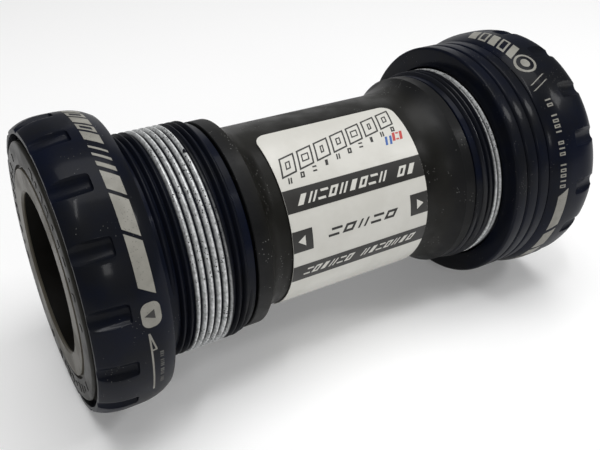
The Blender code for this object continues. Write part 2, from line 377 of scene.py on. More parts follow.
def anodised(name, lines=0.3):
    finish, tree, shader, where = new_finish(name)
    tone, _ = cloudy(tree, where, BLACK_DYE, NAVY_DYE, DYE_CLOUDS)
    lint = specks(tree, where, 2600.0, 0.13, 0.60)
    height = maths(tree, "ADD", lathe_lines(tree, where, lines), noise(tree, where, 5200.0, 2.0))
    plug(tree, shader, Metallic=0.0, Specular_IOR_Level=BLACK_SHEEN,
         Coat_Weight=SEAL_COAT, Coat_Roughness=SEAL_ROUGH,
         Base_Color=mix_colour(tree, lint, tone, LINT_GREY),
         Roughness=ramp(tree, noise(tree, where, 140.0, 4.0), 0.3, 0.7, 0.36, 0.44),
         Normal=bump(tree, height, 0.18, 0.02 * MM))
    return finish


ANODISED = anodised("black_anodising")
SPACER_ANODISED = anodised("spacer_anodising", lines=1.2)

# %% Moulded black plastic
SLEEVE_BLACK = (0.0045, 0.0043, 0.0034, 1)
SLEEVE_WORN = (0.0080, 0.0077, 0.0060, 1)
COLLAR_BLACK = (0.0040, 0.0042, 0.0046, 1)

COLLAR_FROM, COLLAR_TO = 16.5 * MM, 18.5 * MM        # where the tube's tone turns to the collar's
SLEEVE_SHEEN = 0.15
HANDLED_COAT, HANDLED_ROUGH = 0.03, 0.24

SLEEVE_FINISH, tree, shader, where = new_finish("moulded_black_plastic")
tone, _ = cloudy(tree, where, SLEEVE_BLACK, SLEEVE_WORN, 110.0)
dust = specks(tree, where, 1900.0, 0.16, 0.57)
_, along = radius_of(tree, where)
collar = ramp(tree, maths(tree, "ABSOLUTE", along), COLLAR_FROM, COLLAR_TO)
plastic = mix_colour(tree, collar, tone, COLLAR_BLACK)
plug(tree, shader, Specular_IOR_Level=SLEEVE_SHEEN,
     Coat_Weight=HANDLED_COAT, Coat_Roughness=HANDLED_ROUGH,
     Base_Color=mix_colour(tree, dust, plastic, LINT_GREY),
     Roughness=ramp(tree, noise(tree, where, 210.0, 5.0), 0.35, 0.65, 0.40, 0.58),
     Normal=bump(tree, noise(tree, where, 2400.0, 4.0, Roughness=0.65), 0.35, 0.04 * MM))

# %% Grey-brown cap plastic
CAP_TAUPE = (0.094, 0.084, 0.064, 1)
CAP_GRIME = (0.046, 0.042, 0.034, 1)
CAP_RING = (0.020, 0.019, 0.016, 1)
RING_FROM, RING_TO = 15.5 * MM, 16.0 * MM        # the dark outer ring starts here
CAP_CLOUD = 0.35
CAP_SHEEN = 0.12

CAP_FINISH, tree, shader, where = new_finish("taupe_plastic")
tone, grime = cloudy(tree, where, CAP_TAUPE, CAP_GRIME, 170.0, CAP_CLOUD)
dirt = specks(tree, where, 1700.0, 0.17, 0.58)
radius, _ = radius_of(tree, where)
ringed = mix_colour(tree, ramp(tree, radius, RING_FROM, RING_TO), tone, CAP_RING)
plug(tree, shader, Specular_IOR_Level=CAP_SHEEN,
     Base_Color=mix_colour(tree, dirt, ringed, CAP_GRIME),
     Roughness=ramp(tree, grime, 0.0, CAP_CLOUD, 0.36, 0.50),
     Normal=bump(tree, lathe_lines(tree, where), 0.12, 0.03 * MM))

# %% Label film and its inks
FILM_WHITE = (0.635, 0.625, 0.580, 1)
FILM_AGED = (0.550, 0.538, 0.490, 1)
PRINT_BLACK = (0.0125, 0.0115, 0.0100, 1)


def film(name, base, shade, roughness):
    finish, tree, shader, where = new_finish(name)
    tone, _ = cloudy(tree, where, base, shade, 160.0, 0.5)
    ripple = noise(tree, where, 320.0, 3.0)
    plug(tree, shader, Base_Color=tone,
         Roughness=ramp(tree, ripple, 0.3, 0.7, roughness, roughness + 0.12),
         Normal=bump(tree, ripple, 0.10, 0.05 * MM))
    return finish


FILM = film("white_film", FILM_WHITE, FILM_AGED, 0.32)
INK_BLACK = film("black_ink", PRINT_BLACK, (0.021, 0.020, 0.018, 1), 0.42)
INK_BLUE = film("blue_ink", (0.035, 0.11, 0.36, 1), (0.05, 0.14, 0.40, 1), 0.36)
INK_RED = film("red_ink", (0.48, 0.045, 0.040, 1), (0.52, 0.09, 0.08, 1), 0.36)

# %% Pad-printed marks
MARK_GREY = (0.250, 0.242, 0.212, 1)
MARK_WORN = (0.140, 0.134, 0.117, 1)
FAINT_GREY = (0.055, 0.054, 0.050, 1)
FAINT_WORN = (0.022, 0.022, 0.022, 1)
MARK_WEAR = 0.4


def printed_mark(name, grey, worn):
    finish, tree, shader, where = new_finish(name)
    tone, wear = cloudy(tree, where, grey, worn, 420.0, MARK_WEAR)
    pits = specks(tree, where, 2900.0, 0.20, 0.52)
    plug(tree, shader, Base_Color=mix_colour(tree, pits, tone, worn),
         Roughness=ramp(tree, wear, 0.0, MARK_WEAR, 0.45, 0.60),
         Normal=bump(tree, wear, 0.15, 0.02 * MM))
    return finish


MARK = printed_mark("printed_mark", MARK_GREY, MARK_WORN)
FAINT_MARK = printed_mark("faint_printed_mark", FAINT_GREY, FAINT_WORN)


# %% [markdown]
# The thread is the one place where the dye is missing. A band of turns is bare aluminium, with
# dark pits where swarf or dye stayed behind, and one crest of the right cup has a nick. The
# band's limits are places along Y, so the finish takes them as numbers and fades from one to
# the other within a quarter of a millimetre. The nick is a distance from a point, inside
# which the metal goes dark and the bump drops. Cutting it would cost more and show less.

# %% Bare thread metal
BARE_METAL = (0.72, 0.73, 0.73, 1)
DULL_METAL = (0.38, 0.39, 0.39, 1)
BARE_GLOSS, BARE_METALLIC = 0.25, 0.30
THREAD_COAT_ROUGH = 0.24
BAND_FADE = 0.12 * MM
ROOT_DARK_FROM, ROOT_DARK_TO = 16.74 * MM, 17.26 * MM        # the colour turns from the dye at the roots to bare metal near the crests
NICK_PLACE = (5.22 * MM, -24.28 * MM, 16.55 * MM)
NICK_R, NICK_DEPTH = 0.52 * MM, 6.0


def thread_metal(name, band_low, band_high, dye_gloss):
    finish, tree, shader, where = new_finish(name)
    radius, along = radius_of(tree, where)
    inside = maths(tree, "MULTIPLY",
                   ramp(tree, along, band_low - BAND_FADE, band_low + BAND_FADE),
                   ramp(tree, along, band_high + BAND_FADE, band_high - BAND_FADE))
    unpitted = maths(tree, "SUBTRACT", 1.0, specks(tree, where, 2400.0, 0.26, 0.50))
    # Darker towards the thread's roots: the bare share fades into the dye colour from crest to root.
    unpitted_towards_crest = maths(tree, "MULTIPLY", unpitted, ramp(tree, radius, ROOT_DARK_FROM, ROOT_DARK_TO))
    nick = add_node(tree, "ShaderNodeVectorMath", {"operation": "DISTANCE"}, i0=where, i1=NICK_PLACE)
    whole = ramp(tree, nick.outputs["Value"], 0.8 * NICK_R, NICK_R)
    bare = maths(tree, "MULTIPLY", maths(tree, "MULTIPLY", inside, unpitted_towards_crest), whole)
    metal, _ = cloudy(tree, where, BARE_METAL, DULL_METAL, 1700.0)
    dye, _ = cloudy(tree, where, BLACK_DYE, NAVY_DYE, DYE_CLOUDS, 0.5)
    height = maths(tree, "ADD", lathe_lines(tree, where, per_metre=16000.0),
                   maths(tree, "MULTIPLY", whole, NICK_DEPTH))
    plug(tree, shader, Specular_IOR_Level=BLACK_SHEEN, Coat_Roughness=THREAD_COAT_ROUGH,
         Base_Color=mix_colour(tree, bare, dye, metal),
         Metallic=maths(tree, "MULTIPLY", bare, BARE_METALLIC),
         Roughness=ramp(tree, bare, 0.0, 1.0, 0.50, 0.46),
         Coat_Weight=ramp(tree, bare, 0.0, 1.0, dye_gloss, BARE_GLOSS),
         Normal=bump(tree, height, 0.25, 0.02 * MM))
    print(name, "is bare from", round(band_low / MM, 2), "to", round(band_high / MM, 2), "mm")
    return finish


# %% Steel, nylon and rubber of the bearings
GRAIN_AMOUNT = 0.6


def plain_grain(name, base, shade, roughness, metallic, scale, sheen=0.5):
    finish, tree, shader, where = new_finish(name)
    tone, mask = cloudy(tree, where, (*base, 1), (*shade, 1), scale, GRAIN_AMOUNT)
    plug(tree, shader, Metallic=metallic, Specular_IOR_Level=sheen, Base_Color=tone,
         Roughness=ramp(tree, mask, 0.0, GRAIN_AMOUNT, roughness, roughness + 0.1),
         Normal=bump(tree, lathe_lines(tree, where), 0.08, 0.02 * MM))
    return finish


RACE_STEEL = plain_grain("ground_steel", (0.56, 0.56, 0.55), (0.46, 0.46, 0.45), 0.22, 1.0, 300.0)
BALL_STEEL = plain_grain("polished_steel", (0.75, 0.75, 0.76), (0.68, 0.68, 0.70), 0.07, 1.0, 500.0)
NYLON = plain_grain("cage_nylon", (0.46, 0.37, 0.22), (0.38, 0.30, 0.17), 0.48, 0.0, 400.0)
BUSH_PLASTIC = plain_grain("bush_plastic", (0.006, 0.0055, 0.0045), (0.009, 0.008, 0.007),
                           0.55, 0.0, 400.0, sheen=0.1)
RUBBER = plain_grain("black_rubber", (0.013, 0.013, 0.014), (0.022, 0.022, 0.023), 0.62, 0.0, 600.0)


def dress(piece, finish, body):
    """Gives a finished piece its material and its body."""
    piece.data.materials.clear()
    piece.data.materials.append(finish)
    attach(piece, body)
    return piece


# %% [markdown]
# ## The two ends
# Both ends are the same design, built twice. Every place is measured from the cup's shoulder,
# the face that meets the frame's shell, going outwards. The frame gives the shoulder's place
# and the cup's size; only the small features are named here.

# %% Sizes of one end
mounts = {m["name"]: Vector(m["pos_m"]) for m in frame["record"]["mounts"]}
SHOULDER = abs(mounts["right_shell_seat"].y)
FLANGE_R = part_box("right_cup")[1].x
FLANGE_WIDTH = -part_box("right_cup")[0].y - SHOULDER
CAP_FACE = -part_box("right_dust_cap")[0].y - SHOULDER
CAP_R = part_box("right_dust_cap")[1].x
THREAD_CREST_R = 17.38 * MM
THREAD_ROOT_R = 16.74 * MM
THREAD_PITCH = 25.4 * MM / 24
CUP_BORE_R = 15.2 * MM
BORE_R = 12.0 * MM
RELIEF_WIDTH = 2.1 * MM
CROWN_DROP = 1.2 * MM
MOUTH_R = 20.3 * MM
SEAT_R = 18.6 * MM
SEAT_FLOOR = 1.9 * MM
SEAT_MOUTH = 9.3 * MM
PRINT_LIFT = 0.012 * MM
SURFACE_R = FLANGE_R - 0.05 * MM

ENDS = {
    "right": {"sign": -1, "notch_turn": 12.5, "bare": (-29.15, -23.75), "dye_gloss": 0.06},
    "left": {"sign": 1, "notch_turn": 3.0, "bare": (25.35, 26.50), "dye_gloss": 0.5},
}
for side, end in ENDS.items():
    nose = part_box(side + "_cup")[1 if side == "right" else 0].y
    end["nose"] = SHOULDER - abs(nose)
print("flange", round(FLANGE_WIDTH / MM, 2), "x", round(FLANGE_R / MM, 2), "mm")


def from_shoulder(sign, outline):
    """Stations for the lathe, from places measured outwards from the shoulder."""
    return [(sign * (SHOULDER + out), radius) for out, radius in outline]


def crown_radius(out):
    """The flange's barrel, at a distance out from the shoulder."""
    share = abs(out - FLANGE_WIDTH / 2) / (FLANGE_WIDTH / 2)
    return SURFACE_R - CROWN_DROP * share ** 3


# %% [markdown]
# ### The cup
# The real cup is turned from bar: a barrel-shaped flange that holds the bearing, then a
# relief groove, then the threaded nose. The lathe helper makes the body at the thread's root,
# and the thread itself is added later as its own ridge.

# %% Turn a cup
CROWN_STEPS = 22
NOSE_CHAMFER = 0.12 * MM


def cup_stations(end):
    outs = [FLANGE_WIDTH * (1 - k / CROWN_STEPS) for k in range(CROWN_STEPS + 1)]
    crown = [(out, crown_radius(out)) for out in outs]
    nose = -end["nose"]
    return from_shoulder(end["sign"], [
        (FLANGE_WIDTH, MOUTH_R), *crown, (0.0, THREAD_ROOT_R), (nose + NOSE_CHAMFER, THREAD_ROOT_R),
        (nose, THREAD_ROOT_R - NOSE_CHAMFER), (nose, CUP_BORE_R), (SEAT_FLOOR, CUP_BORE_R),
        (SEAT_FLOOR, SEAT_R), (SEAT_MOUTH, SEAT_R), (SEAT_MOUTH, MOUTH_R),
    ])


# %% [markdown]
# ### The spanner notches
# Sixteen round-bottomed notches take the fitting tool. On the real cup a ball-ended cutter
# runs in from the outer face, and the floor rises a little towards the shoulder. So a row of
# round bars with eased ends, each tipped by a few degrees, is cut away with a Boolean, and a
# small bevel then eases every edge, as tumbling does before anodising.

# %% Cut the notches
NOTCH_COUNT = 16
NOTCH_CUTTER_R = 1.6 * MM
NOTCH_FLOOR_R = 20.93 * MM
NOTCH_SLOPE = math.radians(9)
NOTCH_LENGTH = 5.1 * MM
NOTCH_OVERRUN = 1.0 * MM
DEBURR = 0.14 * MM


def notch_bars(end):
    bars = []
    length = NOTCH_LENGTH + NOTCH_OVERRUN
    middle = end["sign"] * (SHOULDER + FLANGE_WIDTH - NOTCH_LENGTH + length / 2)
    centre_r = NOTCH_FLOOR_R + NOTCH_CUTTER_R
    for k in range(NOTCH_COUNT):
        angle = math.radians(end["notch_turn"] + k * 360 / NOTCH_COUNT)
        outwards = Vector((math.cos(angle), 0, math.sin(angle)))
        inwards = -outwards * math.sin(NOTCH_SLOPE)
        along = Vector((0, end["sign"] * math.cos(NOTCH_SLOPE), 0)) + inwards
        select_none()
        bpy.ops.mesh.primitive_cylinder_add(
            vertices=40, radius=NOTCH_CUTTER_R, depth=length,
            location=outwards * centre_r + Vector((0, middle, 0)),
            rotation=along.to_track_quat("Z", "Y").to_euler(),
        )
        bars.append(named(f"notch_bar_{k}"))
    return ease_edges(join("notch_bars", bars), 0.35 * MM, segments=3)


def cut(piece, tool):
    """Cuts the tool out of the piece and throws the tool away."""
    boolean = piece.modifiers.new("cut", "BOOLEAN")
    boolean.operation = "DIFFERENCE"
    boolean.solver = "EXACT"
    boolean.object = tool
    apply_all(piece)
    bpy.data.objects.remove(tool, do_unlink=True)
    return piece


for side, end in ENDS.items():
    cup = cut(turn(side + "_cup_body", cup_stations(end)), notch_bars(end))
    ease_edges(cup, DEBURR)
    smooth(cup, 30)
    dress(cup, ANODISED, side + "_cup")
    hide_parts(side + "_cup")
    print(side, "cup:", len(cup.data.polygons), "faces")

# %% [markdown]
# ### The thread
# The thread is cut at 24 turns to the inch, left-handed on the right cup and right-handed on
# the left cup. One trapezium of metal, swept along a helix by a Screw modifier, gives the real
# ridge with real run-outs: near both ends the ridge sinks into the body over a third of a turn.

# %% Sweep the ridge
TURN_STEPS = 120
CREST_HALF = 0.11 * MM
BASE_HALF = 0.50 * MM
BASE_R = THREAD_ROOT_R - 0.05 * MM
SUNK_R = THREAD_ROOT_R - 0.06 * MM
RUN_OUT = 1 / 3
END_GAP = 0.2 * MM


def thread_ridge(side, end):
    start = -end["nose"] + END_GAP
    turns = math.floor((end["nose"] - RELIEF_WIDTH - 2 * END_GAP) / THREAD_PITCH)
    select_none()
    bpy.ops.mesh.primitive_plane_add(size=1.0)
    ridge = named(side + "_thread")
    corners = [(-BASE_HALF, BASE_R), (-CREST_HALF, THREAD_CREST_R),
               (CREST_HALF, THREAD_CREST_R), (BASE_HALF, BASE_R)]
    order = sorted(ridge.data.vertices, key=lambda v: math.atan2(v.co.y, v.co.x))
    for vertex, (shift, radius) in zip(order, corners):
        along = end["sign"] * (SHOULDER + start + BASE_HALF)
        vertex.co = (radius, along + shift, 0.0)
    edit(ridge)
    bpy.ops.mesh.delete(type="ONLY_FACE")
    bpy.ops.mesh.select_all(action="SELECT")
    bpy.ops.mesh.bevel(offset=0.05 * MM, segments=2, affect="VERTICES")
    leave_edit()
    ring = len(ridge.data.vertices)
    screw = ridge.modifiers.new("helix", "SCREW")
    screw.axis = "Y"
    screw.angle = math.tau
    screw.screw_offset = THREAD_PITCH * end["sign"]
    screw.iterations = turns
    screw.steps = TURN_STEPS
    screw.render_steps = TURN_STEPS
    screw.use_merge_vertices = False
    apply_all(ridge)
    steps = len(ridge.data.vertices) // ring - 1
    for index, vertex in enumerate(ridge.data.vertices):
        step = index // ring
        from_end = min(step, steps - step) / TURN_STEPS
        sink = (1 - min(1.0, from_end / RUN_OUT)) ** 2
        flat = Vector((vertex.co.x, 0, vertex.co.z))
        drop = (flat.length - SUNK_R) * sink
        vertex.co -= flat.normalized() * max(0.0, drop)
    edit(ridge)
    select_open_edges()
    bpy.ops.mesh.edge_face_add()
    face_outwards()
    low, high = (value * MM for value in end["bare"])
    finish = thread_metal(side + "_thread_metal", low, high, end["dye_gloss"])
    dress(smooth(ridge, 50), finish, side + "_cup")
    return turns


for side, end in ENDS.items():
    print(side, "thread:", thread_ridge(side, end), "turns")

# %% [markdown]
# ### Flat artwork, wrapped on
# Printed marks are drawn flat first, as a sign writer would cut them, then bent round the part.
# In the flat, X is the place along the axis and Y is the distance round the surface. Each shape
# starts as a plane or a circle. The sheet is then cut into narrow strips so that it can bend,
# every point is moved on to the surface, and a Solidify modifier gives the ink its thickness.
# A painted texture would be quicker, but real ink keeps a crisp edge from any distance.

# %% Flat shapes
def outline_only(sheet, line):
    """Insets the sheet by the line's width and deletes its middle."""
    edit(sheet)
    bpy.ops.mesh.inset(thickness=line, depth=0)
    bpy.ops.mesh.delete(type="FACE")
    leave_edit()
    return sheet


def flat_bar(x, y, width, height, lean=0.0, skew=0.0, line=0.0):
    """A bar, or its outline. Lean moves its top along X, and skew its right end along Y."""
    select_none()
    bpy.ops.mesh.primitive_plane_add(size=1.0, location=(x, y, 0))
    bpy.context.object.scale = (width, height, 1)
    bar = named("bar")
    for vertex in bar.data.vertices:
        right = vertex.co.x > x
        top = vertex.co.y > y
        vertex.co.x += lean / 2 if top else -lean / 2
        vertex.co.y += skew / 2 if right else -skew / 2
    return outline_only(bar, line) if line else bar


def round_corners(sheet, radius):
    edit(sheet)
    bpy.ops.mesh.bevel(offset=radius, segments=8, affect="VERTICES")
    leave_edit()
    return sheet


def flat_disc(x, y, width, height, sides=40, turn_by=0.0):
    select_none()
    bpy.ops.mesh.primitive_circle_add(
        vertices=sides, radius=0.5, fill_type="NGON", location=(x, y, 0), rotation=(0, 0, turn_by)
    )
    bpy.context.object.scale = (width, height, 1)
    return named("disc")


def flat_triangle(x, y, width, height, turn_by):
    """A disc with three sides. It points along +Y until it is turned."""
    return flat_disc(x, y, width, height, 3, turn_by)


def strips(sheet, axis, step):
    """Cuts a flat sheet across one axis every step."""
    normal = (1, 0, 0) if axis == 0 else (0, 1, 0)
    values = [v.co[axis] for v in sheet.data.vertices]
    place_at, high = min(values) + step, max(values)
    edit(sheet)
    while place_at < high:
        point = (place_at, 0, 0) if axis == 0 else (0, place_at, 0)
        bpy.ops.mesh.select_all(action="SELECT")
        bpy.ops.mesh.bisect(plane_co=point, plane_no=normal)
        place_at += step
    leave_edit()


def wrapped(name, shapes, unroll_r, on_surface, thickness, step=1.0 * MM):
    """Joins flat shapes, bends them on to a surface and thickens them outwards."""
    sheet = join(name, shapes)
    for axis in (0, 1):
        strips(sheet, axis, step)
    for vertex in sheet.data.vertices:
        vertex.co = on_surface(vertex.co.x, vertex.co.y / unroll_r)
    sheet.data.update()
    face = sheet.data.polygons[0]
    if face.normal.x * face.center.x + face.normal.z * face.center.z < 0:
        edit(sheet)
        bpy.ops.mesh.flip_normals()
        leave_edit()
    skin = sheet.modifiers.new("ink", "SOLIDIFY")
    skin.thickness = thickness
    skin.offset = 1.0
    apply_all(sheet)
    return smooth(sheet, 50)


def on_flange(sign, lift=PRINT_LIFT):
    """The surface of one flange: x counts outwards from the shoulder."""
    def surface(out, angle):
        radius = crown_radius(out) + lift
        return Vector((radius * math.cos(angle), sign * (SHOULDER + out), radius * math.sin(angle)))
    return surface


# %% [markdown]
# The marks on each flange begin with plain blocks, where a maker would put a name, and a band
# of slanted bars. The right flange adds a rounded side mark with a triangle in it, and an
# arrow for the tightening direction. The left one adds a ring with a disc, two strokes and a
# row of plain outlines.

# %% Marks on the flanges
BANDS = {
    "right": {"middle": 2.9 * MM, "width": 2.15 * MM, "block_width": 2.15 * MM},
    "left": {"middle": 2.55 * MM, "width": 1.8 * MM, "block_width": 2.9 * MM},
}
BAND_LEAN = 3.6
INK_THICKNESS = 0.02 * MM


def round_by(angle, radius=FLANGE_R):
    """The distance round the flange, or another radius, for an angle in degrees."""
    return math.radians(angle) * radius


def band_bar(band, start, stop, line=0.0, width="width"):
    """A slanted bar of the band between two angles, or its outline if a line width is given."""
    middle, height = round_by((start + stop) / 2), round_by(abs(start - stop))
    return flat_bar(band["middle"], middle, band[width], height, skew=round_by(BAND_LEAN), line=line)


def stroke(x_from, angle_from, x_to, angle_to, width):
    """A straight line of ink that climbs from one point to another, as a leaning bar."""
    y_from, y_to = round_by(angle_from), round_by(angle_to)
    return flat_bar((x_from + x_to) / 2, (y_from + y_to) / 2, width, y_to - y_from, x_to - x_from)


def band_marks(side):
    """The band's slanted bars, from a thin slash to a long bar, after a row of plain blocks."""
    band = BANDS[side]
    if side == "right":
        blocks = [(104.5, 99.8), (98.3, 93.2), (91.7, 86.4), (84.9, 80.8), (79.4, 74.0)]
        bars = [(70.7, 69.6), (67.1, 65.8), (63.2, 61.2), (59.2, 51.9), (50.3, 37.5), (36.0, 18.1)]
    else:
        blocks = [(102.0, 97.0), (95.5, 90.5), (89.0, 84.5), (83.0, 78.0), (76.5, 72.5)]
        bars = [(2.5, -17.0), (-19.5, -32.0), (-34.0, -41.5), (-43.6, -45.4), (-47.4, -48.6)]
    marks = [
        band_bar(band, *ends, line=0.38 * MM if k % 2 else 0.0, width="block_width")
        for k, ends in enumerate(blocks)
    ]
    return marks + [band_bar(band, *ends) for ends in bars]


def side_badge(out, angle):
    """A bar with its corners rounded off until it is nearly an oval."""
    return round_corners(flat_bar(out, round_by(angle), 2.7 * MM, 3.5 * MM), 1.1 * MM)


def small_row(out, start, stop, count, height):
    """A row of small uneven dashes where a maker would put small print."""
    step = (stop - start) / count
    return [
        flat_bar(out, round_by(start + step * (k + 0.5)), height,
                 round_by(abs(step) * (0.42 + 0.2 * (k % 3))), skew=round_by(0.4))
        for k in range(count) if k % 5 != 4
    ]


def glyph_row(out, start, stop, count, height):
    """A row of outlines and bars, with word gaps, where a maker would put a line of print."""
    step = (stop - start) / count
    word_gaps = (5, 9, 14)
    row = []
    for k in range(count):
        if k in word_gaps:
            continue
        middle, width = round_by(start + step * (k + 0.5)), round_by(abs(step) * 0.62)
        if k % 3 == 1:
            row.append(flat_bar(out, middle, height, width * 0.45))
        else:
            row.append(flat_bar(out, middle, height, width, line=0.2 * MM))
    return row


SIDE_OUT, SIDE_ANGLE = 3.0 * MM, 9.7
ARROW_TIP = 3.1
HOOP_OUT, HOOP_ANGLE = 2.5 * MM, 65.5

right_marks = band_marks("right")
right_marks.append(side_badge(SIDE_OUT, SIDE_ANGLE))
right_marks.append(stroke(3.35 * MM, -27.0, 3.72 * MM, ARROW_TIP, 0.24 * MM))
right_marks.append(stroke(2.95 * MM, -3.9, 3.70 * MM, ARROW_TIP, 0.24 * MM))
right_marks.append(flat_bar(3.22 * MM, round_by(-4.1), 0.75 * MM, 0.22 * MM))

left_marks = band_marks("left")
left_marks.append(outline_only(flat_disc(HOOP_OUT, round_by(HOOP_ANGLE), 3.7 * MM, 4.2 * MM), 0.42 * MM))
left_marks.append(flat_disc(HOOP_OUT, round_by(HOOP_ANGLE), 1.5 * MM, 1.9 * MM))
left_marks += [stroke(0.9 * MM, low, 4.0 * MM, low + 3.5, 0.42 * MM) for low in (51.0, 54.0)]
left_marks += glyph_row(2.2 * MM, 4.5, 46.5, 17, 1.05 * MM)

for side, marks in (("right", right_marks), ("left", left_marks)):
    on_surface = on_flange(ENDS[side]["sign"])
    piece = wrapped(side + "_flange_marks", marks, FLANGE_R, on_surface, INK_THICKNESS)
    dress(piece, MARK, side + "_cup")
    print(side, "flange marks:", len(piece.data.polygons), "faces")

faint = wrapped("right_flange_faint_marks", small_row(2.25 * MM, -24.0, -6.0, 18, 0.55 * MM),
                FLANGE_R, on_flange(-1), INK_THICKNESS)
dress(faint, FAINT_MARK, "right_cup")

pointer = flat_triangle(SIDE_OUT, round_by(SIDE_ANGLE), 1.5 * MM, 1.9 * MM, -math.pi / 2)
pointer = wrapped("right_side_pointer", [pointer], FLANGE_R,
                  on_flange(-1, PRINT_LIFT + INK_THICKNESS), 0.01 * MM, step=0.5 * MM)
dress(pointer, INK_BLACK, "right_cup")

# %% [markdown]
# ### The dust caps
# Each dust cap is one plastic moulding: a flat face with a moulding groove, an eased rim, and
# a thin bush that lines the bearing down to the spindle. The bush is so much darker that it is
# turned as a piece of its own. Small raised marks stand on the outer ring. They are short arcs
# and dots, made flat and then extruded.

# %% Mould the dust caps
GROOVE_R = 15.7 * MM
GROOVE_HALF = 0.28 * MM
GROOVE_DEPTH = 0.5 * MM
RING_DROP = 0.10 * MM
BUSH_R = 12.45 * MM
LIP_DEPTH = 0.45 * MM
CAP_THICKNESS = 1.4 * MM
BUSH_END = 2.1 * MM
BUSH_GAP = 0.02 * MM
BORE_EASE = 0.28 * MM
RIM_EASE = 0.4 * MM


def cap_stations(sign):
    rim = [
        (CAP_FACE - RING_DROP - RIM_EASE * (1 - math.cos(t)), CAP_R - RIM_EASE * (1 - math.sin(t)))
        for t in (math.radians(a) for a in (0, 22.5, 45, 67.5, 90))
    ]
    return from_shoulder(sign, [
        (CAP_FACE - LIP_DEPTH, BORE_R), (CAP_FACE - BORE_EASE, BORE_R),
        (CAP_FACE, BORE_R + BORE_EASE), (CAP_FACE, GROOVE_R - GROOVE_HALF),
        (CAP_FACE - GROOVE_DEPTH, GROOVE_R - 0.7 * GROOVE_HALF),
        (CAP_FACE - GROOVE_DEPTH, GROOVE_R + 0.7 * GROOVE_HALF),
        (CAP_FACE - RING_DROP, GROOVE_R + GROOVE_HALF), *rim,
        (CAP_FACE - CAP_THICKNESS, CAP_R), (CAP_FACE - CAP_THICKNESS, BUSH_R),
        (CAP_FACE - LIP_DEPTH, BUSH_R),
    ])


def bush_stations(sign):
    """The black liner behind the cap's lip, which carries the spindle in the bearing."""
    top, outer = CAP_FACE - LIP_DEPTH - BUSH_GAP, BUSH_R - BUSH_GAP
    outline = [(BUSH_END, BORE_R), (top, BORE_R), (top, outer), (BUSH_END, outer)]
    return from_shoulder(sign, outline)


MARKS_R = 17.45 * MM
MARK_HEIGHT = 0.08 * MM


def raised_marks(name, sign):
    """Short raised arcs and dots round the cap's outer ring, in three groups."""
    ring_y = sign * (SHOULDER + CAP_FACE - RING_DROP)
    shapes = []
    for group_turn in (20, 140, 260):
        for k in range(9):
            across, width = ((1.3, 0.9), (0.8, 0.5), (1.3, 1.2))[k % 3]
            round_at = round_by(group_turn + k * 7.5, MARKS_R)
            shapes.append(flat_bar(MARKS_R, round_at, across * MM, width * MM))
        shapes.append(flat_disc(MARKS_R, round_by(group_turn - 14, MARKS_R), 1.2 * MM, 1.2 * MM))
    sheet = join(name, shapes)
    strips(sheet, 1, 1.0 * MM)
    for vertex in sheet.data.vertices:
        radius, angle = vertex.co.x, vertex.co.y / MARKS_R
        vertex.co = (radius * math.cos(angle), ring_y, radius * math.sin(angle))
    edit(sheet)
    bpy.ops.mesh.extrude_region_move(TRANSFORM_OT_translate={"value": (0, sign * MARK_HEIGHT, 0)})
    face_outwards()
    return smooth(sheet, 40)


for side, end in ENDS.items():
    cap = smooth(turn(side + "_cap_moulding", cap_stations(end["sign"])), 28)
    dress(cap, CAP_FINISH, side + "_hub")
    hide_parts(side + "_dust_cap")
    dress(raised_marks(side + "_cap_marks", end["sign"]), CAP_FINISH, side + "_hub")
    bush = smooth(turn(side + "_spindle_bush", bush_stations(end["sign"])), 30)
    dress(bush, BUSH_PLASTIC, side + "_hub")
    print(side, "dust cap:", len(cap.data.polygons), "faces")

# %% [markdown]
# ## The middle
# Between the cups sit three loose spacers on the left, and the plastic sleeve with its two
# rubber rings. The sleeve's collars fall to the tube in a hollow curve, as the frame says.

# %% Turn the spacers
SPACER_EASE = 0.3 * MM
SPACER_BORE_R = 17.7 * MM
for name in ("spacer_outer", "spacer_middle", "spacer_inner"):
    low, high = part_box(name)
    outer, eased = high.x, high.x - SPACER_EASE
    stations = [(low.y, SPACER_BORE_R), (low.y, eased), (low.y + SPACER_EASE, outer),
                (high.y - SPACER_EASE, outer), (high.y, eased), (high.y, SPACER_BORE_R)]
    ring = ease_edges(turn(name + "_ring", stations), 0.08 * MM)
    dress(smooth(ring, 30), SPACER_ANODISED, name)
    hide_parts(name)
    print(name, "at", round(low.y / MM, 2), "to", round(high.y / MM, 2), "mm")

# %% Turn the sleeve
SLEEVE_BORE_R = 12.8 * MM
TUBE_R = 14.85 * MM
COLLAR_R = 16.85 * MM
TUBE_HALF = 14.0 * MM
RING_GROOVE_R = 13.75 * MM
RING_SECTION_R = 0.6 * MM
RING_PINCH = 0.1 * MM
TIP_EASE, COLLAR_EASE = 0.2 * MM, 0.12 * MM
GROOVE_REACH = 1.0 * MM
SLOPE_STEPS = 10
COLLARS = {"right": (-19.3 * MM, 2.4 * MM), "left": (21.4 * MM, 2.0 * MM)}        # rim, width
ring_centres = {
    side: sum(corner.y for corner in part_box("sleeve_oring_" + side)) / 2 for side in COLLARS
}


